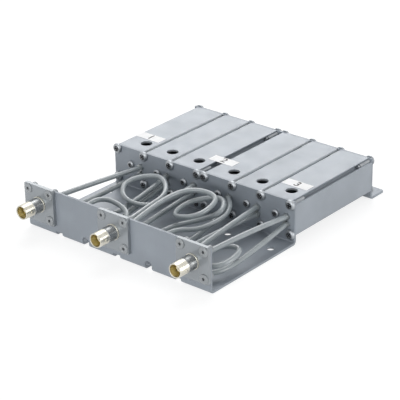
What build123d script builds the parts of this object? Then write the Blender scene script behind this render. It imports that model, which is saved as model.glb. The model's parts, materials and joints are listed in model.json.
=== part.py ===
from build123d import *
import math
import os

# Six-cavity duplexer. Millimetres. X is across, Y runs from the sockets at the
# front to the foot at the rear, Z is up. The pieces are drawn with Y = 0 where the
# cavity blocks start, and saved with Y = 0 at the middle of the whole length.

# Sheet metal
sheet = 1.6
bend_r = 1.0
corner_r = 1.2
bay_depth = 85.5
panel_height = 31.2
foot_reach = 16.0

# Notches in the front bend and holes in the floor and foot
notch_width = 5.8
notch_depth = 6.5
notch_height = 3.0
arch_height = 6.5
mount_pitch = 34.8
mount_hole_r = 2.65
mount_hole_back = 17.0
foot_hole_back = 7.5

# Cavity blocks
stand_off = 4.1
block_height = 26.1
block_length = 84.0
cells_per_block = 3
cell_pitch = 23.6
block_margin = 3.1
cell_wall = 1.5
cell_corner_r = 1.0
channel_r = 1.8
channel_wall = 1.2
channel_mouth = 3.0
channel_inset = 2.6
corner_opening = 2.9
tuning_hole_r = 4.0
tuning_hole_back = 11.5
tuning_offset = 2.6

# Screws
screw_shank_r = 1.7
screw_hole_r = 1.9
screw_head_r = 3.4
screw_head_height = 2.2
screw_reach = 12.0
small_shank_r = 1.5
small_hole_r = 1.65
small_head_r = 2.8
small_head_height = 1.9
small_reach = 8.0

# Sockets and their flange plates
plate_size = 25.4
plate_thickness = 2.5
plate_corner_r = 1.0
port_inset = 12.3
port_height = 19.8
rivet_pitch = 18.26
rivet_r = 1.5
rivet_bore_r = 1.0
rivet_head_r = 3.3
rivet_head_height = 0.9
rivet_tail_r = 2.2
rivet_tail_height = 3.4
socket_r = 4.85
socket_bore_r = 4.05
socket_bore_depth = 9.0
socket_reach = 16.1
lug_r = 0.95
lug_rise = 0.75
lug_back = 4.8
barrel_length = 8.0
body_r = 5.05
ring_r = 5.4
ring_length = 0.8
neck_r = 4.0
neck_tail = 10.4
insulator_r = 2.9
insulator_nose_r = 2.6
insulator_recess = 4.6
contact_r = 1.05
contact_bore_r = 0.65

# Resonators and trimmers
resonator_r = 4.0
resonator_length = 70.0
resonator_lift = 1.25
saddle_length = 8.0
saddle_cut = 1.5
saddle_thickness = 1.0
saddle_rim = 0.4
trimmer_r = 2.6
trimmer_height = 4.0
rotor_r = 2.3
rotor_height = 1.2
rotor_slot = 0.7
stem_r = 1.2
stem_length = 3.0

# Coaxial jumpers and the ferrules in the upstand
cable_r = 1.7
ferrule_r = 2.1
ferrule_collar_r = 2.4
ferrule_collar = 2.0
ferrule_tail = 2.0
cable_grip = 1.0
ferrule_to_wall = 0.25
entry_low = 9.3
entry_high = 14.5

# Labels
label_width = 20.3
label_depth = 8.2
label_thickness = 0.15
label_gap = 1.7
middle_label_shift = 0.9

# Named clearances
slip = 0.1
running = 0.05

# Worked-out places
panel_y = -bay_depth
block_top = stand_off + block_height
block_width = cells_per_block * cell_pitch + 2 * block_margin
width = 2 * block_width
block_x = (-block_width / 2, block_width / 2)
cell_steps = [k - (cells_per_block - 1) / 2 for k in range(cells_per_block)]
channel_steps = [k - cells_per_block / 2 for k in range(cells_per_block + 1)]
cell_x = [x + k * cell_pitch for x in block_x for k in cell_steps]
channel_x = [x + k * cell_pitch for x in block_x for k in channel_steps]
channel_z = (stand_off + channel_inset, block_top - channel_inset)
rear_y = block_length + sheet
port_z = port_height
port_x = (port_inset - width / 2, 0.0, width / 2 - port_inset)
plate_y = panel_y - plate_thickness
mouth_y = plate_y - socket_reach
neck_end_y = panel_y + sheet + neck_tail
to_middle = -(mouth_y + block_length + foot_reach) / 2
resonator_z = stand_off + block_height / 2 + resonator_lift
saddle_z = resonator_z + resonator_r - saddle_cut
rotor_z = saddle_z + trimmer_height
tuner_x = [x + tuning_offset for x in cell_x]
entry_z = (stand_off + entry_low, stand_off + entry_high)
entry_offset = (cell_pitch - cell_wall) / 2 - ferrule_to_wall - ferrule_r
cable_end_y = -sheet - ferrule_collar + cable_grip
screw_spots = [(x, z) for z in channel_z for x in channel_x]
rivet_spots = [(x + i * rivet_pitch / 2, port_z + j * rivet_pitch / 2)
               for x in port_x for i in (-1, 1) for j in (-1, 1)]
entry_spots = [(x + entry_offset, z) for z in entry_z for x in cell_x]
arch_x = [x - math.copysign(cell_pitch / 2, x) for x in block_x]
notch_x = [x + math.copysign(cell_pitch / 2, x) for x in block_x] + [0.0]


def write(shape, name):
    shape.label = name
    export_step(shape, f"parts/{name}.step")


def save(part, name):
    write(part.moved(Location((0, to_middle, 0))), name)


def save_group(solids, name):
    # Separate solids of one kind in one node
    write(Compound(children=[solid.moved(Location((0, to_middle, 0))) for solid in solids]), name)


def x_edges(builder, y, z):
    def on_line(edge):
        spot = edge.center()
        return abs(spot.Y - y) < 0.01 and abs(spot.Z - z) < 0.01
    return builder.edges().filter_by(Axis.X).filter_by(on_line)


def facing_front(y):
    # A sketch plane at this Y: its own Y is Z, and a positive extrusion runs to the front.
    return Plane(origin=(0, y, 0), x_dir=(1, 0, 0), z_dir=(0, -1, 0))


os.makedirs("parts", exist_ok=True)

# Tray: connector panel, floor and rear upstand folded from one sheet
with BuildPart() as tray:
    with BuildSketch(Plane.YZ.offset(-width / 2)):
        with BuildLine():
            Polyline((panel_y, 0), (0, 0), (0, block_top), (-sheet, block_top),
                     (-sheet, sheet), (panel_y + sheet, sheet),
                     (panel_y + sheet, panel_height), (panel_y, panel_height), close=True)
        make_face()
    extrude(amount=width)
    fillet(x_edges(tray, panel_y + sheet, sheet) + x_edges(tray, -sheet, sheet), bend_r)
    fillet(x_edges(tray, panel_y, 0) + x_edges(tray, 0, 0), bend_r + sheet)
    upright_corners = tray.edges().filter_by(Axis.Y).filter_by(
        lambda edge: edge.center().Z > block_top - 0.01 and edge.length < 2 * sheet)
    fillet(upright_corners, corner_r)
    # Notches in the front bend: three square ones, and two with round arched tops
    with BuildSketch(facing_front(panel_y + notch_depth)):
        with Locations([(x, 0) for x in notch_x]):
            Rectangle(notch_width, 2 * notch_height)
        with Locations([(x, 0) for x in arch_x]):
            Rectangle(notch_width, 2 * arch_height - notch_width)
        with Locations([(x, arch_height - notch_width / 2) for x in arch_x]):
            Circle(notch_width / 2)
    extrude(amount=notch_depth, mode=Mode.SUBTRACT)
    # Mounting holes in the floor
    with BuildSketch(Plane.XY):
        with Locations([(k * mount_pitch, -mount_hole_back) for k in (-2, -1, 1, 2)]):
            Circle(mount_hole_r)
    extrude(amount=sheet, mode=Mode.SUBTRACT)
    # Upstand: screws, resonator screws and cable ferrules
    with BuildSketch(facing_front(0)):
        with Locations(screw_spots):
            Circle(screw_hole_r)
        with Locations([(x, resonator_z) for x in cell_x]):
            Circle(small_hole_r)
        with Locations(entry_spots):
            Circle(ferrule_r + slip)
    extrude(amount=sheet, mode=Mode.SUBTRACT)
    # Panel: socket necks and rivets
    with BuildSketch(facing_front(panel_y + sheet)):
        with Locations([(x, port_z) for x in port_x]):
            Circle(neck_r + slip)
        with Locations(rivet_spots):
            Circle(rivet_r + slip)
    extrude(amount=sheet, mode=Mode.SUBTRACT)
save(tray.part, "tray")


def cavity_block(x_mid):
    # One extrusion: cells side by side, with a round screw channel at each cell wall.
    # The middle channels open through a mouth above and below, the outer ones at the corners.
    mid_z = stand_off + block_height / 2
    channels = [x_mid + k * cell_pitch for k in channel_steps]
    half = block_width / 2
    with BuildPart() as block:
        with BuildSketch(facing_front(block_length)):
            with Locations((x_mid, mid_z)):
                Rectangle(block_width, block_height)
            with Locations([(x_mid + k * cell_pitch, mid_z) for k in cell_steps]):
                RectangleRounded(cell_pitch - cell_wall, block_height - 2 * cell_wall,
                                 cell_corner_r, mode=Mode.SUBTRACT)
            with Locations([(x, z) for x in channels for z in channel_z]):
                Circle(channel_r + channel_wall)
            with Locations((x_mid, mid_z)):
                Rectangle(block_width, block_height, mode=Mode.INTERSECT)
            with Locations([(x, z) for x in channels for z in channel_z]):
                Circle(channel_r, mode=Mode.SUBTRACT)
            with Locations([(x, z) for x in channels[1:-1] for z in (stand_off, block_top)]):
                Rectangle(channel_mouth, 2 * channel_inset, mode=Mode.SUBTRACT)
            with Locations([(x_mid + side * half, z) for side in (-1, 1)
                            for z in (stand_off, block_top)]):
                Rectangle(2 * corner_opening, 2 * channel_inset, mode=Mode.SUBTRACT)
        extrude(amount=block_length)
        with BuildSketch(Plane.XY.offset(block_top - cell_wall)):
            with Locations([(x_mid + k * cell_pitch + tuning_offset, tuning_hole_back)
                            for k in cell_steps]):
                Circle(tuning_hole_r)
        extrude(amount=cell_wall, mode=Mode.SUBTRACT)
    return block.part


save(cavity_block(block_x[0]), "cavity_block_low")
save(cavity_block(block_x[1]), "cavity_block_high")

# Rear bracket: end plate of the cells and foot flange folded from one sheet
with BuildPart() as rear_bracket:
    with BuildSketch(Plane.YZ.offset(-width / 2)):
        with BuildLine():
            Polyline((block_length, 0), (block_length + foot_reach, 0),
                     (block_length + foot_reach, sheet), (rear_y, sheet),
                     (rear_y, block_top), (block_length, block_top), close=True)
        make_face()
    extrude(amount=width)
    fillet(x_edges(rear_bracket, rear_y, sheet), bend_r)
    fillet(x_edges(rear_bracket, block_length, 0), bend_r + sheet)
    foot_corners = rear_bracket.edges().filter_by(Axis.Z).filter_by(
        lambda edge: edge.center().Y > rear_y + 1)
    fillet(foot_corners, corner_r)
    with BuildSketch(facing_front(rear_y)):
        with Locations(screw_spots):
            Circle(screw_hole_r)
    extrude(amount=sheet, mode=Mode.SUBTRACT)
    with BuildSketch(Plane.XY):
        with Locations([(side * mount_pitch, block_length + foot_reach - foot_hole_back)
                        for side in (-1, 1)]):
            Circle(mount_hole_r)
    extrude(amount=sheet, mode=Mode.SUBTRACT)
save(rear_bracket.part, "rear_bracket")


def connector_plate(x_mid):
    with BuildPart() as plate:
        with BuildSketch(facing_front(panel_y)):
            with Locations((x_mid, port_z)):
                RectangleRounded(plate_size, plate_size, plate_corner_r)
            with Locations((x_mid, port_z)):
                Circle(neck_r + slip, mode=Mode.SUBTRACT)
                with GridLocations(rivet_pitch, rivet_pitch, 2, 2):
                    Circle(rivet_r + slip, mode=Mode.SUBTRACT)
        extrude(amount=plate_thickness)
    return plate.part


def turned(x_mid, z_mid, points):
    # A solid turned about the axis through (x_mid, z_mid) along Y, from (radius, y) points
    with BuildPart() as solid:
        with BuildSketch(Plane(origin=(x_mid, 0, z_mid), x_dir=(1, 0, 0), z_dir=(0, 0, 1))):
            with BuildLine():
                Polyline(*points, close=True)
            make_face()
        revolve(axis=Axis((x_mid, 0, z_mid), (0, 1, 0)))
    return solid.part


def bnc_shell(x_mid):
    barrel_y = mouth_y + barrel_length
    ring_y = plate_y - ring_length
    seat_y = mouth_y + socket_bore_depth
    seat_end_y = panel_y + sheet
    with BuildPart() as shell:
        with BuildSketch(Plane(origin=(x_mid, 0, port_z), x_dir=(1, 0, 0), z_dir=(0, 0, 1))):
            with BuildLine():
                Polyline(
                    (socket_bore_r, mouth_y), (socket_r - 0.3, mouth_y), (socket_r, mouth_y + 0.3),
                    (socket_r, barrel_y), (body_r, barrel_y + 0.3), (body_r, ring_y),
                    (ring_r, ring_y), (ring_r, plate_y), (neck_r, plate_y), (neck_r, neck_end_y),
                    (0, neck_end_y), (0, seat_end_y), (insulator_r + slip, seat_end_y),
                    (insulator_r + slip, seat_y), (socket_bore_r, seat_y), close=True)
            make_face()
        revolve(axis=Axis((x_mid, 0, port_z), (0, 1, 0)))
        # Two bayonet lugs across the barrel
        for side in (-1, 1):
            with BuildSketch(Plane(origin=(x_mid + side * (socket_r + lug_rise),
                                           mouth_y + lug_back, port_z),
                                   x_dir=(0, 1, 0), z_dir=(-side, 0, 0))):
                Circle(lug_r)
            extrude(amount=lug_rise + 0.4)
    return shell.part


def bnc_insulator(x_mid):
    seat_y = mouth_y + socket_bore_depth
    nose_y = mouth_y + insulator_recess
    return turned(x_mid, port_z, [
        (contact_r + slip, nose_y), (insulator_nose_r, nose_y), (insulator_nose_r, seat_y),
        (insulator_r, seat_y), (insulator_r, panel_y + sheet), (contact_r + slip, panel_y + sheet)])


def bnc_contact(x_mid):
    tip_y = mouth_y + insulator_recess
    return turned(x_mid, port_z, [
        (contact_bore_r, tip_y), (contact_r, tip_y), (contact_r, panel_y + sheet),
        (0, panel_y + sheet), (0, tip_y + 5), (contact_bore_r, tip_y + 5)])


for number, x in enumerate(port_x, start=1):
    save(connector_plate(x), f"connector_plate_{number}")
    save(bnc_shell(x), f"bnc_shell_{number}")
    save(bnc_insulator(x), f"bnc_insulator_{number}")
    save(bnc_contact(x), f"bnc_contact_{number}")


def rivet(x, z):
    head_y = plate_y
    tail_y = panel_y + sheet
    return turned(x, z, [
        (rivet_bore_r, head_y - rivet_head_height), (rivet_head_r - 0.9, head_y - rivet_head_height),
        (rivet_head_r, head_y), (rivet_r, head_y), (rivet_r, tail_y),
        (rivet_tail_r, tail_y), (rivet_tail_r, tail_y + 0.7 * rivet_tail_height),
        (rivet_bore_r, tail_y + rivet_tail_height)])


def pan_screw(x, z, seat_y, way, shank_r, head_r, head_height, reach):
    # way is +1 where the shank points to the rear and -1 where it points to the front
    return turned(x, z, [
        (0, seat_y - way * head_height), (0.55 * head_r, seat_y - way * 0.93 * head_height),
        (0.9 * head_r, seat_y - way * 0.62 * head_height), (head_r, seat_y - way * 0.2 * head_height),
        (head_r, seat_y), (shank_r, seat_y), (shank_r, seat_y + way * reach),
        (0, seat_y + way * reach)])


save_group([rivet(x, z) for x, z in rivet_spots], "plate_rivets")
save_group([pan_screw(x, z, -sheet, 1, screw_shank_r, screw_head_r, screw_head_height,
                      screw_reach + sheet) for x, z in screw_spots], "front_screws")
save_group([pan_screw(x, z, rear_y, -1, screw_shank_r, screw_head_r, screw_head_height,
                      screw_reach + sheet) for x, z in screw_spots], "rear_screws")
save_group([pan_screw(x, resonator_z, -sheet, 1, small_shank_r, small_head_r,
                      small_head_height, small_reach + sheet) for x in cell_x], "resonator_screws")


def resonator(x_mid):
    # Rod screwed to the upstand, with a flat saddle that reaches under the tuning hole
    with BuildPart() as rod:
        with BuildSketch(facing_front(resonator_length)):
            with Locations((x_mid, resonator_z)):
                Circle(resonator_r)
        extrude(amount=resonator_length)
        with BuildSketch(facing_front(small_reach + 1)):
            with Locations((x_mid, resonator_z)):
                Circle(small_shank_r + slip)
        extrude(amount=small_reach + 1, mode=Mode.SUBTRACT)
        with BuildSketch(Plane.XY.offset(saddle_z)):
            with Locations((x_mid, tuning_hole_back)):
                Rectangle(2 * resonator_r, saddle_length)
        extrude(amount=saddle_cut, mode=Mode.SUBTRACT)
        reach = tuning_offset + trimmer_r + saddle_rim
        with BuildSketch(Plane.XY.offset(saddle_z - saddle_thickness)):
            with Locations((x_mid + reach / 2, tuning_hole_back)):
                Rectangle(reach, saddle_length)
        extrude(amount=saddle_thickness)
    return rod.part


def trimmer_body(x_mid):
    with BuildPart() as body:
        with BuildSketch(Plane.XY.offset(saddle_z)):
            with Locations((x_mid, tuning_hole_back)):
                Circle(trimmer_r)
        extrude(amount=trimmer_height)
        with BuildSketch(Plane.XY.offset(rotor_z - stem_length)):
            with Locations((x_mid, tuning_hole_back)):
                Circle(stem_r + running)
        extrude(amount=stem_length, mode=Mode.SUBTRACT)
    return body.part


def trimmer_rotor(x_mid):
    with BuildPart() as rotor:
        with BuildSketch(Plane.XY.offset(rotor_z - stem_length)):
            with Locations((x_mid, tuning_hole_back)):
                Circle(stem_r)
        extrude(amount=stem_length)
        with BuildSketch(Plane.XY.offset(rotor_z)):
            with Locations((x_mid, tuning_hole_back)):
                Circle(rotor_r)
        extrude(amount=rotor_height)
        with BuildSketch(Plane.XY.offset(rotor_z + rotor_height / 2)):
            with Locations((x_mid, tuning_hole_back)):
                Rectangle(2 * rotor_r, rotor_slot)
        extrude(amount=rotor_height / 2, mode=Mode.SUBTRACT)
    return rotor.part


for number, (x, tuner) in enumerate(zip(cell_x, tuner_x), start=1):
    save(resonator(x), f"resonator_{number}")
    save(trimmer_body(tuner), f"trimmer_body_{number}")
    save(trimmer_rotor(tuner), f"trimmer_rotor_{number}")


def ferrule(x, z):
    return turned(x, z, [
        (0, -sheet - ferrule_collar), (ferrule_collar_r, -sheet - ferrule_collar),
        (ferrule_collar_r, -sheet), (ferrule_r, -sheet), (ferrule_r, ferrule_tail),
        (0, ferrule_tail)])


save_group([ferrule(x, z) for x, z in entry_spots], "cable_ferrules")


def entry(cell, level):
    # Where a jumper ends in the ferrule of this cell (1 to 6), level 0 is the lower one
    return (cell_x[cell - 1] + entry_offset, cable_end_y, entry_z[level])


def port(number, side=0.0):
    return (port_x[number - 1] + side, neck_end_y - cable_grip, port_z)


pair = cable_r + 0.4
routes = {
    "coax_1": [port(1), (-63, -41, 18.6), entry(1, 1)],
    "coax_2": [entry(1, 0), (-57, -39, 12.5), (-59.5, -74.5, 11), (-24.5, -77, 10), (-20.5, -50.5, 13),
               (-47.5, -48, 16.5), (-50.5, -76, 18.5), (-25, -77, 21), (-23, -45.5, 19.5), entry(2, 1)],
    "coax_3": [entry(2, 0), (-31, -25.5, 8), (-29.5, -54, 4.5), (-24, -74.5, 4.2), (-2.5, -73.5, 4.5),
               (1.5, -43, 7.5), entry(3, 0)],
    "coax_4": [entry(3, 1), (-10, -25.5, 12.5), (-19.5, -42, 12), (-37, -41, 14), (-48, -23, 19),
               (-29.5, -6.5, 23.3), (-8.5, -25.5, 20.5), (-7.5, -49, 19), port(2, -pair)],
    "coax_5": [port(2, pair), (-2.5, -41.5, 22.8), (3.5, -16, 25), (28.5, -15, 25), (30, -40, 20.5),
               (8.5, -43.5, 15.5), (4, -20.5, 17), (23.5, -6.5, 21.3), (37.5, -24.5, 20.3), (24.5, -43, 10),
               (3, -52.5, 6), (2, -75.5, 4.6), (25.5, -75.5, 4.2), (25, -44.5, 4.4), entry(4, 0)],
    "coax_6": [entry(4, 1), (38.5, -14.5, 17.5), (36, -43.5, 13.5), (19, -53.5, 11.5), (17.5, -77, 10),
               (40.5, -77, 8.5), (41, -47, 4.8), entry(5, 0)],
    "coax_7": [entry(6, 0), (71.5, -39.5, 6.5), (71, -75, 4.8), (46.5, -76, 5.5), (47, -50, 9),
               (73.8, -49.5, 14), (73.7, -75.5, 11.5), (48.5, -76, 12.5), (49.5, -39.5, 16.5), entry(5, 1)],
    "coax_8": [port(3), (67, -40, 19.8), entry(6, 1)],
}


def bend_radii(points):
    # Each bend is as wide as 0.45 of the shorter run beside it allows
    radii = []
    for before, corner, after in zip(points, points[1:], points[2:]):
        run_in = Vector(corner) - Vector(before)
        run_out = Vector(after) - Vector(corner)
        half_turn = math.radians(run_in.get_angle(run_out)) / 2
        radii.append(0.45 * min(run_in.length, run_out.length) / math.tan(half_turn))
    return radii


for name, points in routes.items():
    radii = bend_radii(points)
    with BuildPart() as cable:
        with BuildLine() as route:
            FilletPolyline(*points, radius=radii)
        with BuildSketch(Plane(origin=route.line @ 0, z_dir=route.line % 0)):
            Circle(cable_r)
        sweep()
    save(cable.part, name)
    length = route.wires()[0].length
    expected = math.pi * cable_r ** 2 * length
    print(name, "length", round(length, 1), "radii", [round(r, 1) for r in radii],
          "volume ratio", round(cable.part.volume / expected, 4))


def label(x_mid):
    with BuildPart() as sticker:
        with BuildSketch(Plane.XY.offset(block_top)):
            with Locations((x_mid, tuning_hole_back + tuning_hole_r + label_gap + label_depth / 2)):
                Rectangle(label_width, label_depth)
        extrude(amount=label_thickness)
    return sticker.part


label_x = (-width / 2 + corner_opening + label_width / 2, middle_label_shift, cell_x[-1])
for number, x in enumerate(label_x, start=1):
    save(label(x), f"label_{number}")
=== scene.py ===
import json
import math

import bmesh
import bpy
from mathutils import Matrix, Vector


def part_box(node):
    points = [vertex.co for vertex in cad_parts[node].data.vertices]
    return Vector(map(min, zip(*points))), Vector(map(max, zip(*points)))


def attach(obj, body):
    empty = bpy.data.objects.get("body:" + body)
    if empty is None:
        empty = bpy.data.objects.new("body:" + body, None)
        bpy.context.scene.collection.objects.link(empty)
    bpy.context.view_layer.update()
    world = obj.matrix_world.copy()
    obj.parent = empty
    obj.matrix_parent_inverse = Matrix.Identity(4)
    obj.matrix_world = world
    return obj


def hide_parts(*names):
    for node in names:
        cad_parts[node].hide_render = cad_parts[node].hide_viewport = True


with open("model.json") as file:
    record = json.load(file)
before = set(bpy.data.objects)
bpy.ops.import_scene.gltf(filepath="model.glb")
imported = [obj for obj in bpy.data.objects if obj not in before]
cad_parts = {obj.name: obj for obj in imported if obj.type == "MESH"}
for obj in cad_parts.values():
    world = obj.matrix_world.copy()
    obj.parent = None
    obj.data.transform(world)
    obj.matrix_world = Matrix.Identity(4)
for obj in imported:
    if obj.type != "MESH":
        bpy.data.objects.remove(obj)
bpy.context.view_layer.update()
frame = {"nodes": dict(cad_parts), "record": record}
nodes = frame["nodes"]

MM = 0.001
CHASSIS = "chassis"

# ---- Camera: the photograph's viewpoint, in the frame's metres and degrees
CAMERA_AT = (0.6301, -0.7466, 0.4722)
CAMERA_YAW = -40.203
CAMERA_PITCH = 25.334
CAMERA_ROLL = -0.961
SENSOR = 36.0
FOCAL_PIXELS = 1628.2
IMAGE_PIXELS = 400.0
CLIP_NEAR, CLIP_FAR = 0.01, 50.0


def link(item):
    """Puts a new object into the scene."""
    bpy.context.scene.collection.objects.link(item)
    return item


def add_camera():
    yaw, pitch, roll = (math.radians(a) for a in (CAMERA_YAW, CAMERA_PITCH, CAMERA_ROLL))
    forward = Vector((math.sin(yaw) * math.cos(pitch), math.cos(yaw) * math.cos(pitch),
                      -math.sin(pitch)))
    level_right = forward.cross(Vector((0, 0, 1))).normalized()
    level_up = level_right.cross(forward)
    right = math.cos(roll) * level_right + math.sin(roll) * level_up
    up = -math.sin(roll) * level_right + math.cos(roll) * level_up
    turn = Matrix((right, up, -forward)).transposed().to_4x4()
    data = bpy.data.cameras.new("camera")
    data.sensor_width = SENSOR
    data.lens = FOCAL_PIXELS / IMAGE_PIXELS * SENSOR
    data.clip_start = CLIP_NEAR
    data.clip_end = CLIP_FAR
    camera = link(bpy.data.objects.new("camera", data))
    camera.matrix_world = Matrix.Translation(CAMERA_AT) @ turn
    bpy.context.scene.camera = camera


add_camera()

# ---- Coaxial jumpers: the CAD tubes' lengths and routes, in millimetres, some points moved a
# little towards the photograph's loops. Y = 0 is where the cavity blocks start, BLOCK_Y in
# the frame
BLOCK_Y = 2.05
CELL_X = (-62.1, -38.5, -14.9, 14.9, 38.5, 62.1)
PORT_X = (-64.7, 0.0, 64.7)
PORT_Z = 19.8
ENTRY_OFFSET = 8.7      # from a cell's middle to the entries through the upstand
ENTRY_Z = (13.4, 18.6)  # the lower and the upper entry of a cell
CABLE_END_Y = -2.6
NECK_END_Y = -74.5      # the rear end of the sockets' necks
CABLE_R = 1.7
PAIR = 2.1              # half the distance of the two jumpers at the middle socket


def entry(cell, level):
    """Where a jumper ends in the upstand: cells from 1, level 0 low or 1 high."""
    return (CELL_X[cell - 1] + ENTRY_OFFSET, CABLE_END_Y, ENTRY_Z[level])


def port(number, side=0.0):
    """Where a jumper ends behind a socket, numbered from 1."""
    return (PORT_X[number - 1] + side, NECK_END_Y, PORT_Z)


ROUTES = {
    "coax_1": (73.0, [port(1), (-63, -41, 17.8), entry(1, 1)]),
    "coax_2": (258.1, [
        entry(1, 0), (-57.5, -39, 10.3), (-60, -76.5, 9.5), (-13, -77.3, 11.5),
        (-13.5, -54, 15), (-44, -48, 17.3), (-46, -70.5, 15.5), (-28, -71, 14),
        (-31.5, -42.5, 8.5), entry(2, 1)]),
    "coax_3": (160.9, [
        entry(2, 0), (-31, -25.5, 8), (-29.5, -54, 4.5), (-24, -74.5, 4.2), (-5.5, -73.5, 6.5),
        (-2.5, -43, 13.5), entry(3, 0)]),
    "coax_4": (173.9, [
        entry(3, 1), (-10, -25.5, 13.5), (-19.5, -41, 13.9), (-37, -40, 15.6), (-48, -23, 19),
        (-29.5, -6.5, 22.1), (-8.3, -25.5, 20.5), (-7.5, -49, 19), port(2, -PAIR)]),
    "coax_5": (334.7, [
        port(2, PAIR), (-2.5, -41.5, 22.8), (3.5, -16, 25), (28.5, -15, 25), (30, -40, 20.5),
        (8.5, -43.5, 15.5), (4, -20.5, 17), (23.5, -6.5, 21.3), (37.5, -24.5, 20.3),
        (20.5, -29, 11), (10.5, -41.5, 9.5), (5, -58, 6.5), (1.5, -76, 4.6), (25.5, -76, 4.2),
        (26, -30, 4), entry(4, 0)]),
    "coax_6": (177.3, [
        entry(4, 1), (38.5, -14.5, 17.5), (33, -42, 13), (17.5, -50.5, 12.5), (17.5, -77, 10),
        (40.5, -77, 8.5), (38.5, -47, 11), entry(5, 0)]),
    "coax_7": (246.8, [
        entry(6, 0), (71.5, -39.5, 7.4), (71, -75, 6), (46.5, -76, 5.5), (47, -50, 9),
        (73.8, -46, 16), (73.8, -73.5, 11), (48.5, -76, 11.5), (49.5, -39.5, 17.7),
        entry(5, 1)]),
    "coax_8": (72.2, [port(3), (67, -40, 20.6), entry(6, 1)]),
}


# ---- Materials
# Noise scales, in features per metre
BLOTCHES, GLOSS_PATCHES, WEAR_PATCHES, PAINT_GRAIN = 42, 110, 420, 2600
STAINS, RUB_MARKS = 260, 1800
MOTTLES = 160
DIE_LINES = (2400, 14, 2400)  # across, along and up: fine lines along an extrusion
CHANNEL_REACH = 1.6 * MM      # half the width about a screw channel drawn bare and light, partly painted light
PAINT = (0.300, 0.332, 0.372)


def start_material(name):
    """(material, node tree, principled shader) with the shader linked to the output"""
    material = bpy.data.materials.new(name)
    material.use_nodes = True
    tree = material.node_tree
    tree.nodes.clear()
    output = tree.nodes.new("ShaderNodeOutputMaterial")
    shader = tree.nodes.new("ShaderNodeBsdfPrincipled")
    tree.links.new(shader.outputs[0], output.inputs[0])
    return material, tree, shader


def noise(tree, scale, detail, stretch=(1, 1, 1)):
    """Noise in the piece's own space; scale is in features per metre."""
    coordinates = tree.nodes.new("ShaderNodeTexCoord")
    mapping = tree.nodes.new("ShaderNodeMapping")
    mapping.inputs["Scale"].default_value = stretch
    texture = tree.nodes.new("ShaderNodeTexNoise")
    texture.inputs["Scale"].default_value = scale
    texture.inputs["Detail"].default_value = detail
    tree.links.new(coordinates.outputs["Object"], mapping.inputs[0])
    tree.links.new(mapping.outputs[0], texture.inputs["Vector"])
    return texture.outputs["Fac"]


def spread(tree, value, low, high, start=0.3, end=0.7):
    """A 0..1 pattern value moved to the range low..high."""
    node = tree.nodes.new("ShaderNodeMapRange")
    node.inputs["From Min"].default_value = start
    node.inputs["From Max"].default_value = end
    node.inputs["To Min"].default_value = low
    node.inputs["To Max"].default_value = high
    tree.links.new(value, node.inputs["Value"])
    return node.outputs[0]


def mixed(tree, factor, first, second):
    """The first colour where factor is 0, the second where it is 1; values or sockets."""
    node = tree.nodes.new("ShaderNodeMix")
    node.data_type = "RGBA"
    for socket, colour in (("A", first), ("B", second)):
        target = [s for s in node.inputs if s.name == socket and s.type == "RGBA"][0]
        if isinstance(colour, tuple):
            target.default_value = (*colour, 1)
        else:
            tree.links.new(colour, target)
    tree.links.new(factor, node.inputs["Factor"])
    return [s for s in node.outputs if s.type == "RGBA"][0]


def math_node(tree, operation, first, second=0.0):
    node = tree.nodes.new("ShaderNodeMath")
    node.operation = operation
    for socket, value in zip(node.inputs, (first, second)):
        if isinstance(value, (int, float)):
            socket.default_value = value
        else:
            tree.links.new(value, socket)
    return node.outputs[0]


def rounded_edges(tree, radius):
    """(shading normal rounded at edges, 0..1 mask that is high on edges)"""
    bevel = tree.nodes.new("ShaderNodeBevel")
    bevel.samples = 4
    bevel.inputs["Radius"].default_value = radius
    geometry = tree.nodes.new("ShaderNodeNewGeometry")
    dot = tree.nodes.new("ShaderNodeVectorMath")
    dot.operation = "DOT_PRODUCT"
    tree.links.new(bevel.outputs[0], dot.inputs[0])
    tree.links.new(geometry.outputs["Normal"], dot.inputs[1])
    return bevel.outputs[0], spread(tree, dot.outputs["Value"], 1.0, 0.0, 0.72, 0.97)


def in_channels(tree):
    """1 on the walls of each block's inner screw channels: bare metal, lightened as painted
    light in the slots.
    """
    geometry = tree.nodes.new("ShaderNodeNewGeometry")
    split = tree.nodes.new("ShaderNodeSeparateXYZ")
    tree.links.new(geometry.outputs["Position"], split.inputs[0])
    value = math_node(tree, "ABSOLUTE", split.outputs["X"])
    for step in (CELL_X[4] * MM, (CELL_X[4] - CELL_X[3]) / 2 * MM):
        value = math_node(tree, "ABSOLUTE", math_node(tree, "SUBTRACT", value, step))
    return math_node(tree, "LESS_THAN", value, CHANNEL_REACH)


def bump(tree, shader, height, strength, distance, normal=None):
    """Sets the shader's normal: bumps of the given distance over an optional normal."""
    node = tree.nodes.new("ShaderNodeBump")
    node.inputs["Strength"].default_value = strength
    node.inputs["Distance"].default_value = distance
    tree.links.new(height, node.inputs["Height"])
    if normal is not None:
        tree.links.new(normal, node.inputs["Normal"])
    tree.links.new(node.outputs[0], shader.inputs["Normal"])


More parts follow.
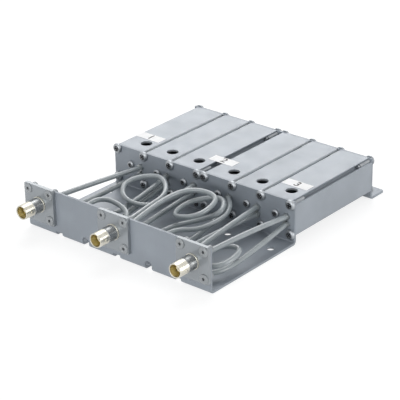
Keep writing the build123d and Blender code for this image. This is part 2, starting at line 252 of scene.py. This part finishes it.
def painted_metal(name, colour, roughness=0.42, edge=0.35 * MM, wear=0.5, metallic=0.12,
                  channel_colour_painted_light=None):
    """Satin paint over aluminium: faint blotches, fine grain, lighter worn edges.

    The channel colour, for an extrusion with its die lines, is bare metal in the screw
    channels, lightened there as painted light.
    """
    material, tree, shader = start_material(name)
    dark = tuple(c * 0.90 for c in colour)
    light = tuple(min(1.0, c * 1.07) for c in colour)
    bare = tuple(min(1.0, c * 1.35 + 0.05) for c in colour)
    blotch = noise(tree, BLOTCHES, 4)
    grain = noise(tree, PAINT_GRAIN, 2)
    body = mixed(tree, spread(tree, blotch, 0, 1), dark, light)
    speck = mixed(tree, spread(tree, grain, 0.0, 0.35, 0.45, 0.75), body, light)
    normal, mask = rounded_edges(tree, edge)
    patches = spread(tree, noise(tree, WEAR_PATCHES, 3), 0.1, wear)
    paint = mixed(tree, math_node(tree, "MULTIPLY", mask, patches), speck, bare)
    height = grain
    if channel_colour_painted_light:
        # bare metal in the screw channels, made light as painted light in the slots
        paint = mixed(tree, in_channels(tree), paint, channel_colour_painted_light)
        lines = noise(tree, 1.0, 2, DIE_LINES)
        height = mixed(tree, spread(tree, blotch, 0.5, 0.9), grain, lines)
    tree.links.new(paint, shader.inputs["Base Color"])
    shader.inputs["Metallic"].default_value = metallic
    gloss = noise(tree, GLOSS_PATCHES, 3)
    tree.links.new(spread(tree, gloss, roughness - 0.06, roughness + 0.07),
                   shader.inputs["Roughness"])
    bump(tree, shader, height, 0.22, 0.03 * MM, normal)
    return material


def bare_metal(name, colour, roughness, stain):
    """Plated or bare metal: rubbing marks, faint stain and fine scratches."""
    material, tree, shader = start_material(name)
    shader.inputs["Metallic"].default_value = 1.0
    cloud = noise(tree, STAINS, 4)
    tree.links.new(mixed(tree, spread(tree, cloud, 0, 1), colour, stain),
                   shader.inputs["Base Color"])
    rub = noise(tree, RUB_MARKS, 3, (1, 0.25, 1))
    tree.links.new(spread(tree, rub, roughness * 0.8, roughness * 1.35),
                   shader.inputs["Roughness"])
    normal, _ = rounded_edges(tree, 0.08 * MM)
    bump(tree, shader, rub, 0.2, 0.01 * MM, normal)
    return material


def plain_plastic(name, colour, roughness, grain_scale, depth, mottle=0.06, coat=0.0):
    """Jacket, insulator, ceramic or paper: soft mottling and a fine grain."""
    material, tree, shader = start_material(name)
    dark = tuple(c * (1 - mottle) for c in colour)
    light = tuple(min(1.0, c * (1 + mottle)) for c in colour)
    cloud = noise(tree, MOTTLES, 3)
    tree.links.new(mixed(tree, spread(tree, cloud, 0, 1), dark, light),
                   shader.inputs["Base Color"])
    fine = noise(tree, grain_scale, 2)
    tree.links.new(spread(tree, fine, roughness - 0.05, roughness + 0.08),
                   shader.inputs["Roughness"])
    shader.inputs["Coat Weight"].default_value = coat
    shader.inputs["Coat Roughness"].default_value = 0.25
    bump(tree, shader, fine, 0.25, depth)
    return material


materials = {
    "sheet": painted_metal("sheet_paint", PAINT),
    # its channel colour: bare metal, lightened as painted light in the screw channels
    "extrusion": painted_metal("extrusion_paint", (0.345, 0.378, 0.418), 0.38,
                               channel_colour_painted_light=(0.72, 0.75, 0.78)),
    "flange": painted_metal("flange_paint", (0.308, 0.332, 0.352), 0.20, edge=0.3 * MM,
                            metallic=0.35),
    "nickel": bare_metal("socket_nickel", (0.69, 0.67, 0.59), 0.27, (0.53, 0.51, 0.44)),
    # darker nickel for the sockets' rear bodies: a painted reflection of the grey plate
    "nickel_painted_reflection": bare_metal("socket_nickel_painted_reflection", (0.40, 0.41, 0.41), 0.24, (0.34, 0.35, 0.35)),
    "bore": bare_metal("socket_bore", (0.78, 0.68, 0.36), 0.42, (0.64, 0.56, 0.30)),
    "dielectric": plain_plastic("socket_insulator", (0.78, 0.76, 0.68), 0.45, 900, 0.02 * MM),
    "gold": bare_metal("contact_gold", (0.82, 0.60, 0.24), 0.22, (0.70, 0.50, 0.20)),
    "rivet": painted_metal("rivet_paint", (0.330, 0.350, 0.365), 0.34, edge=0.2 * MM, wear=0.9),
    # near black: painted shade down the rivets' holes, on their mandrels
    "mandrel_painted_shade": bare_metal("rivet_mandrel_painted_shade", (0.04, 0.04, 0.045), 0.55, (0.02, 0.02, 0.02)),
    "screw": bare_metal("screw_zinc", (0.43, 0.45, 0.47), 0.40, (0.33, 0.35, 0.37)),
    # dark colour in the screws' cross recesses: painted shade
    "recess": bare_metal("recess_painted_shade", (0.11, 0.115, 0.12), 0.55, (0.08, 0.08, 0.08)),
    "ferrule": bare_metal("ferrule_tin", (0.50, 0.52, 0.52), 0.38, (0.36, 0.38, 0.38)),
    "rod": bare_metal("resonator_silver", (0.70, 0.68, 0.62), 0.28, (0.55, 0.52, 0.45)),
    "ceramic": plain_plastic("trimmer_ceramic", (0.70, 0.68, 0.62), 0.35, 1200, 0.02 * MM),
    "rotor": bare_metal("rotor_brass", (0.62, 0.46, 0.20), 0.32, (0.45, 0.34, 0.16)),
    "cable": plain_plastic("cable_jacket", (0.330, 0.368, 0.385), 0.26, 2600, 0.03 * MM,
                           0.07, 0.8),
    "label": plain_plastic("label_paper", (0.95, 0.95, 0.95), 0.50, 3500, 0.01 * MM, 0.02),
    "ink": plain_plastic("label_ink", (0.020, 0.020, 0.022), 0.45, 1500, 0.01 * MM),
}
node_slots = {s["node"]: s["material_slot"] for s in frame["record"]["subparts"]}
for node_name, node_object in nodes.items():
    node_object.data.materials.clear()
    node_object.data.materials.append(materials[node_slots[node_name]])


# ---- Mesh helpers
CREASE = math.radians(34.0)  # edges sharper than this stay sharp


def to_data(mesh, name):
    """Mesh data from a bmesh, which is freed."""
    data = bpy.data.meshes.new(name)
    mesh.to_mesh(data)
    mesh.free()
    return data


def finish_piece(name, mesh, node, slot_name, *extra):
    """Links the mesh as a piece in a CAD node's place; extra are its further materials."""
    for face in mesh.faces:
        face.smooth = True
    for line in mesh.edges:
        if len(line.link_faces) == 2 and line.calc_face_angle(0) > CREASE:
            line.smooth = False
    data = to_data(mesh, name)
    for key in (slot_name, *extra):
        data.materials.append(materials[key])
    piece = link(bpy.data.objects.new(name, data))
    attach(piece, CHASSIS)
    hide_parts(node)


def lathe(mesh, points, steps, material=0):
    """A solid of revolution about local Z from closed (radius, height) points.

    material is one material index, or a list with one for each point, which holds for the
    faces from that point to the next.
    """
    rings = []
    for radius, height in points:
        if radius == 0:
            rings.append([mesh.verts.new((0, 0, height))])
        else:
            rings.append([mesh.verts.new((radius * math.cos(2 * math.pi * k / steps),
                                          radius * math.sin(2 * math.pi * k / steps), height))
                          for k in range(steps)])
    made = []
    for index, (low, high) in enumerate(zip(rings, rings[1:] + rings[:1])):
        if len(low) == 1 and len(high) == 1:
            continue
        for k in range(steps):
            after = (k + 1) % steps
            if len(low) == 1:
                corners = [low[0], high[after], high[k]]
            elif len(high) == 1:
                corners = [low[k], low[after], high[0]]
            else:
                corners = [low[k], low[after], high[after], high[k]]
            face = mesh.faces.new(corners)
            face.material_index = material[index] if isinstance(material, list) else material
            made.append(face)
    bmesh.ops.recalc_face_normals(mesh, faces=made)


def place(mesh, matrix, start=0):
    """Moves the bmesh's vertices from the index start on."""
    mesh.verts.ensure_lookup_table()
    for vertex in mesh.verts[start:]:
        vertex.co = matrix @ vertex.co


def add_lathe(mesh, matrix, points, steps, material=0):
    """Adds a placed solid of revolution to the bmesh."""
    start = len(mesh.verts)
    lathe(mesh, points, steps, material)
    place(mesh, matrix, start)


def add_copy(mesh, matrix, data):
    """Adds a placed copy of mesh data to the bmesh."""
    start = len(mesh.verts)
    mesh.from_mesh(data)
    place(mesh, matrix, start)


# Local Z of a lathed part is turned to point out of the front (-Y) or the rear (+Y)
OUT_FRONT = Matrix.Rotation(math.radians(90), 4, "X")
OUT_REAR = Matrix.Rotation(math.radians(-90), 4, "X")


# ---- Screws: pan heads with a cross recess, threaded shanks
SHEET = 1.6 * MM
HEAD = (3.48 * MM, 2.2 * MM)  # a head's radius and height
SMALL_HEAD = (2.8 * MM, 1.9 * MM)
THREAD = (1.82 * MM, 1.42 * MM, 0.8 * MM, 13.6 * MM)  # outer, core radius, pitch, reach
SMALL_THREAD = (1.48 * MM, 1.2 * MM, 0.7 * MM, 9.6 * MM)
RECESS_LENGTH, RECESS_WIDTH = 1.18, 0.29  # of the head's radius
RECESS_DEPTH = 0.80                       # of the head's height
RECESS_REACH = 0.62                       # of the head's radius: what lies inside is darker, painted shade in the recess
HEAD_RIM = 0.34                           # of the head's height: the upright rim
CHANNEL_X = (-73.9, -50.3, -26.7, -3.1, 3.1, 26.7, 50.3, 73.9)
CHANNEL_Z = (6.7, 27.6)
RESONATOR_Z = 18.4


def cross_cutter(length, width, depth, top):
    """Two crossed tapered bars that cut the driver recess."""
    mesh = bmesh.new()
    for turn in (0, math.pi / 2):
        for vertex in bmesh.ops.create_cube(mesh, size=1.0)["verts"]:
            upper = vertex.co.z > 0
            x = vertex.co.x * length * (1.08 if upper else 0.42)
            y = vertex.co.y * width * (1.08 if upper else 0.55)
            z = top + 0.3 * MM if upper else top - depth
            vertex.co = Matrix.Rotation(turn, 3, "Z") @ Vector((x, y, z))
    bmesh.ops.recalc_face_normals(mesh, faces=mesh.faces)
    return to_data(mesh, "cutter")


def pan_head(radius, height):
    """Mesh data of one pan head, its seat at z = 0; the cross recess has material 1, a dark
    colour that paints its shade.
    """
    dome = [(radius * math.sin(math.radians(a)) ** 0.8,
             height * (HEAD_RIM + (1 - HEAD_RIM) * math.cos(math.radians(a)) ** 0.7))
            for a in (90, 78, 66, 54, 42, 30, 18)]
    mesh = bmesh.new()
    lathe(mesh, [(0, 0), (radius, 0)] + dome + [(0, height)], 36)
    bmesh.ops.remove_doubles(mesh, verts=mesh.verts, dist=1e-7)
    head = link(bpy.data.objects.new("head", to_data(mesh, "head")))
    cutter = link(bpy.data.objects.new("cutter", cross_cutter(
        radius * RECESS_LENGTH, radius * RECESS_WIDTH, height * RECESS_DEPTH, height)))
    cut = head.modifiers.new("recess", "BOOLEAN")
    cut.operation = "DIFFERENCE"
    cut.solver = "EXACT"
    cut.use_self = True
    cut.object = cutter
    bpy.context.view_layer.update()
    depsgraph = bpy.context.evaluated_depsgraph_get()
    result = bpy.data.meshes.new_from_object(head.evaluated_get(depsgraph))
    bpy.data.objects.remove(head)
    bpy.data.objects.remove(cutter)
    result.materials.clear()
    for face in result.polygons:
        across = math.hypot(face.center.x, face.center.y)
        between = height * 0.1 < face.center.z < height * 0.97
        face.material_index = 1 if between and across < radius * RECESS_REACH else 0
    return result


def threaded_shank(major, minor, pitch, reach):
    """Mesh data of a threaded shank that runs from z = 0 down to z = -reach."""
    steps = 20
    mesh = bmesh.new()
    lathe(mesh, [(0, 0), (minor, 0), (minor, -reach + 0.5 * MM),
                 (minor - 0.4 * MM, -reach), (0, -reach)], steps)
    turns = int((reach - 1.2 * MM) / pitch)
    roots, crests = [], []
    for k in range(turns * steps + 1):
        angle = 2 * math.pi * k / steps
        z = -pitch * k / steps
        across = Vector((math.cos(angle), math.sin(angle), 0))
        roots.append(mesh.verts.new(across * minor + Vector((0, 0, z))))
        crests.append(mesh.verts.new(across * major + Vector((0, 0, z - pitch / 2))))
    for k in range(turns * steps):
        mesh.faces.new((roots[k], crests[k], crests[k + 1], roots[k + 1]))
        if k + 1 + steps < len(roots):
            mesh.faces.new((crests[k], roots[k + steps], roots[k + 1 + steps], crests[k + 1]))
    bmesh.ops.recalc_face_normals(mesh, faces=mesh.faces)
    return to_data(mesh, "shank")


def screw_row(name, node, spots, seat_y, outwards, head_size, thread_size):
    """Every screw of one CAD node as one detailed piece; spots are (x, z) in millimetres."""
    head = pan_head(*head_size)
    shank = threaded_shank(*thread_size)
    mesh = bmesh.new()
    for index, (x, z) in enumerate(spots):
        turn = Matrix.Rotation(math.radians(37 * index % 90 - 20), 4, "Z")
        at = Matrix.Translation((x * MM, seat_y, z * MM)) @ outwards @ turn
        add_copy(mesh, at, head)
        add_copy(mesh, at, shank)
    finish_piece(name, mesh, node, "screw", "recess")
    bpy.data.meshes.remove(head)
    bpy.data.meshes.remove(shank)


channel_spots = [(x, z) for z in CHANNEL_Z for x in CHANNEL_X]
resonator_spots = [(x, RESONATOR_Z) for x in CELL_X]
front_y = BLOCK_Y * MM - SHEET
rear_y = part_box("rear_screws")[1].y - HEAD[1]
screw_row("screws_front", "front_screws", channel_spots, front_y, OUT_FRONT, HEAD, THREAD)
screw_row("screws_rear", "rear_screws", channel_spots, rear_y, OUT_REAR, HEAD, THREAD)
screw_row("screws_resonator", "resonator_screws", resonator_spots, front_y, OUT_FRONT,
          SMALL_HEAD, SMALL_THREAD)

# ---- Rivets that hold the flange plates
RIVET_PITCH = 18.26 * MM
RIVET_STEPS = 28
# (radius, height) in millimetres from the plate's face, or behind the panel's rear face
RIVET_HEAD = [(1.0, -1.2), (1.0, 0.70), (1.12, 0.84), (1.35, 0.90), (2.3, 0.88), (2.85, 0.80),
              (3.15, 0.64), (3.28, 0.40), (3.3, 0.0), (1.5, 0.0)]
RIVET_TAIL = [(1.5, 0.0), (2.05, -0.2), (2.2, -0.6), (2.2, -2.1), (2.0, -2.8), (1.6, -3.2),
              (1.2, -3.4), (1.1, -3.3)]
MANDREL_TOP = [(0, -0.65), (0.8, -0.65), (0.97, -0.8)]
MANDREL_FOOT = [(0.97, -1.2), (0, -1.2)]
MANDREL_BULB = [(0, 0.4), (1.0, 0.4), (1.0, -3.0), (0.8, -3.3), (0.4, -3.4), (0, -3.4)]


def rivets():
    plate_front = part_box("connector_plate_1")[0].y
    panel_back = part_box("connector_plate_1")[1].y + SHEET
    grip = panel_back - plate_front

    def scaled(points, back=0.0):
        return [(radius * MM, height * MM - back) for radius, height in points]

    # material 1, near black, is painted shade on the mandrels down the holes
    profiles = ((scaled(RIVET_HEAD) + scaled(RIVET_TAIL, grip), 0),
                (scaled(MANDREL_TOP) + scaled(MANDREL_FOOT, grip), 1),
                (scaled(MANDREL_BULB, grip), 1))
    mesh = bmesh.new()
    for x in PORT_X:
        for i in (-1, 1):
            for j in (-1, 1):
                at = Matrix.Translation((x * MM + i * RIVET_PITCH / 2, plate_front,
                                         PORT_Z * MM + j * RIVET_PITCH / 2)) @ OUT_FRONT
                for points, material in profiles:
                    add_lathe(mesh, at, points, RIVET_STEPS, material)
    finish_piece("rivets", mesh, "plate_rivets", "rivet", "mandrel_painted_shade")


rivets()

# ---- BNC sockets
# (radius, distance behind the mouth) in millimetres, in runs of one finish
BARREL = [(4.02, 0.25), (4.15, 0.06), (4.35, 0.0), (4.55, 0.0), (4.76, 0.08), (4.85, 0.3)]
# from here to the collar the shell is darker nickel, a painted reflection of the grey plate
PAINTED_REFLECTION_RUN = [(4.85, 7.9), (4.92, 8.15), (5.05, 8.3)]
COLLAR_AND_NECK = [(5.05, 15.2), (5.10, 15.3), (5.28, 15.3), (5.37, 15.36), (5.4, 15.5),
                   (5.4, 16.1), (4.0, 16.1), (4.0, 30.2), (3.6, 30.6), (0, 30.6)]
BORE = [(0, 20.2), (2.95, 20.2), (2.95, 9.0), (4.02, 9.0)]
SOCKET_RUNS = ((BARREL, 0), (PAINTED_REFLECTION_RUN, 2), (COLLAR_AND_NECK, 0), (BORE, 1))
LUG = [(0, 0), (0.95, 0), (0.95, 1.0), (0.86, 1.12), (0.65, 1.18), (0, 1.2)]
LUG_BASE, LUG_BEHIND_MOUTH = 4.4 * MM, 4.8 * MM


def socket(number):
    """Nickel shell with two bayonet lugs; its rear body, up to the collar, is darker nickel: a
    painted reflection of the grey plate.
    """
    outline = [(r * MM, -h * MM) for run, _ in SOCKET_RUNS for r, h in run]
    finishes = [finish for run, finish in SOCKET_RUNS for _ in run]
    mesh = bmesh.new()
    lathe(mesh, outline, 72, finishes)
    for side in (0, math.pi):
        out = (Matrix.Rotation(side, 4, "Z")
               @ Matrix.Translation((LUG_BASE, 0, -LUG_BEHIND_MOUTH))
               @ Matrix.Rotation(math.radians(90), 4, "Y"))
        add_lathe(mesh, out, [(r * MM, h * MM) for r, h in LUG], 24)
    mouth_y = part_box("bnc_shell_1")[0].y
    place(mesh, Matrix.Translation((PORT_X[number - 1] * MM, mouth_y, PORT_Z * MM)) @ OUT_FRONT)
    finish_piece(f"socket_{number}", mesh, f"bnc_shell_{number}", "nickel", "bore", "nickel_painted_reflection")


for port_number in (1, 2, 3):
    socket(port_number)


# ---- Jumpers, each one smooth curve through the route's control points
def jumper(name):
    length, points = ROUTES[name]
    points = [(Vector(p) + Vector((0, BLOCK_Y, 0))) * MM for p in points]
    data = bpy.data.curves.new(name + "_line", "CURVE")
    data.dimensions = "3D"
    spline = data.splines.new("NURBS")
    spline.points.add(len(points) - 1)
    for target, point in zip(spline.points, points):
        target.co = (*point, 1)
    spline.order_u = 3
    spline.use_endpoint_u = True
    spline.resolution_u = 16
    data.bevel_depth = CABLE_R * MM
    data.bevel_resolution = 6
    data.use_fill_caps = True
    data.materials.append(materials["cable"])
    piece = link(bpy.data.objects.new(name.replace("coax", "jumper"), data))
    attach(piece, CHASSIS)
    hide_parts(name)


for route_name in ROUTES:
    jumper(route_name)

# ---- Plain numbers on the labels
DIGIT_HEIGHT = 6.0 * MM
CAP_HEIGHT = 0.7            # of the font's size
STROKE_GROWTH = 0.18 * MM   # makes the strokes bolder
INK_DEPTH = 0.015 * MM      # half the ink's thickness


def digit(number):
    low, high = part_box(f"label_{number}")
    data = bpy.data.curves.new(f"digit_{number}_line", "FONT")
    data.body = str(number)
    data.size = DIGIT_HEIGHT / CAP_HEIGHT
    data.align_x = "CENTER"
    data.align_y = "CENTER"
    data.offset = STROKE_GROWTH
    data.extrude = INK_DEPTH
    data.materials.append(materials["ink"])
    piece = link(bpy.data.objects.new(f"digit_{number}", data))
    piece.location = ((low.x + high.x) / 2, (low.y + high.y) / 2, high.z + INK_DEPTH)
    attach(piece, CHASSIS)


for label_number in (1, 2, 3):
    digit(label_number)


# ---- Floor, world and lamps
FLOOR_HALF_SIZE = 6.0
FLOOR_DROP = 0.2 * MM
FLOOR_COLOUR = 0.84                    # as the light meets it
FLOOR_SHADED, FLOOR_GLOW = 0.30, 0.80  # as the camera and reflections see it
SKY_COLOUR = (0.97, 0.985, 1.0, 1)
SKY_LOW, SKY_HIGH, SKY_HIGH_AT = 0.22, 0.49, 0.9
LAMP_AIM = (0, 0, 0.015)
LAMPS = (  # name, place, diameter, power
    ("backdrop", (-0.95, 1.25, 0.72), 1.3, 7.6),
    ("overhead", (-0.35, 0.38, 1.20), 0.8, 4.6),
    ("right_side", (1.40, 0.33, 0.36), 0.7, 5.8),
    ("front_low", (0.2, -1.5, 0.06), 1.2, 16.5),
)


def grey(value):
    return (value, value, value, 1)


def mix_for_background(tree, output, lit, seen):
    """Links lit for the light's own rays and seen for those that show the background."""
    path = tree.nodes.new("ShaderNodeLightPath")
    factor = path.outputs["Is Camera Ray"]
    for kind in ("Is Glossy Ray", "Is Transmission Ray"):
        factor = math_node(tree, "MAXIMUM", factor, path.outputs[kind])
    mix = tree.nodes.new("ShaderNodeMixShader")
    tree.links.new(factor, mix.inputs[0])
    tree.links.new(lit.outputs[0], mix.inputs[1])
    tree.links.new(seen.outputs[0], mix.inputs[2])
    tree.links.new(mix.outputs[0], output.inputs[0])


def add_floor():
    """A plain pale floor that keeps the object's soft shadow."""
    mesh = bmesh.new()
    bmesh.ops.create_grid(mesh, x_segments=1, y_segments=1, size=FLOOR_HALF_SIZE)
    data = to_data(mesh, "floor")
    floor = link(bpy.data.objects.new("floor", data))
    floor.location.z = -FLOOR_DROP
    material = bpy.data.materials.new("floor_white")
    material.use_nodes = True
    tree = material.node_tree
    tree.nodes.clear()
    output = tree.nodes.new("ShaderNodeOutputMaterial")
    lit = tree.nodes.new("ShaderNodeBsdfDiffuse")
    lit.inputs["Color"].default_value = grey(FLOOR_COLOUR)
    shaded = tree.nodes.new("ShaderNodeBsdfDiffuse")
    shaded.inputs["Color"].default_value = grey(FLOOR_SHADED)
    glow = tree.nodes.new("ShaderNodeEmission")
    glow.inputs["Strength"].default_value = FLOOR_GLOW
    seen = tree.nodes.new("ShaderNodeAddShader")
    tree.links.new(shaded.outputs[0], seen.inputs[0])
    tree.links.new(glow.outputs[0], seen.inputs[1])
    mix_for_background(tree, output, lit, seen)
    data.materials.append(material)


def add_world():
    """A sky that lights the object, brighter overhead, and is seen as plain white."""
    world = bpy.data.worlds.new("studio")
    bpy.context.scene.world = world
    world.use_nodes = True
    tree = world.node_tree
    tree.nodes.clear()
    output = tree.nodes.new("ShaderNodeOutputWorld")
    coordinates = tree.nodes.new("ShaderNodeTexCoord")
    split = tree.nodes.new("ShaderNodeSeparateXYZ")
    tree.links.new(coordinates.outputs["Generated"], split.inputs[0])
    height = spread(tree, split.outputs["Z"], SKY_LOW, SKY_HIGH, 0.0, SKY_HIGH_AT)
    sky = tree.nodes.new("ShaderNodeBackground")
    sky.inputs["Color"].default_value = SKY_COLOUR
    tree.links.new(height, sky.inputs["Strength"])
    white = tree.nodes.new("ShaderNodeBackground")
    white.inputs["Color"].default_value = grey(1)
    mix_for_background(tree, output, sky, white)


def add_lamp(name, location, size, power):
    data = bpy.data.lights.new(name, "AREA")
    data.shape = "DISK"
    data.size = size
    data.energy = power
    lamp = link(bpy.data.objects.new(name, data))
    lamp.location = location
    aim = Vector(LAMP_AIM) - Vector(location)
    lamp.rotation_euler = aim.to_track_quat("-Z", "Y").to_euler()


add_floor()
add_world()
for lamp_row in LAMPS:
    add_lamp(*lamp_row)

bpy.context.scene.view_settings.view_transform = "Standard"
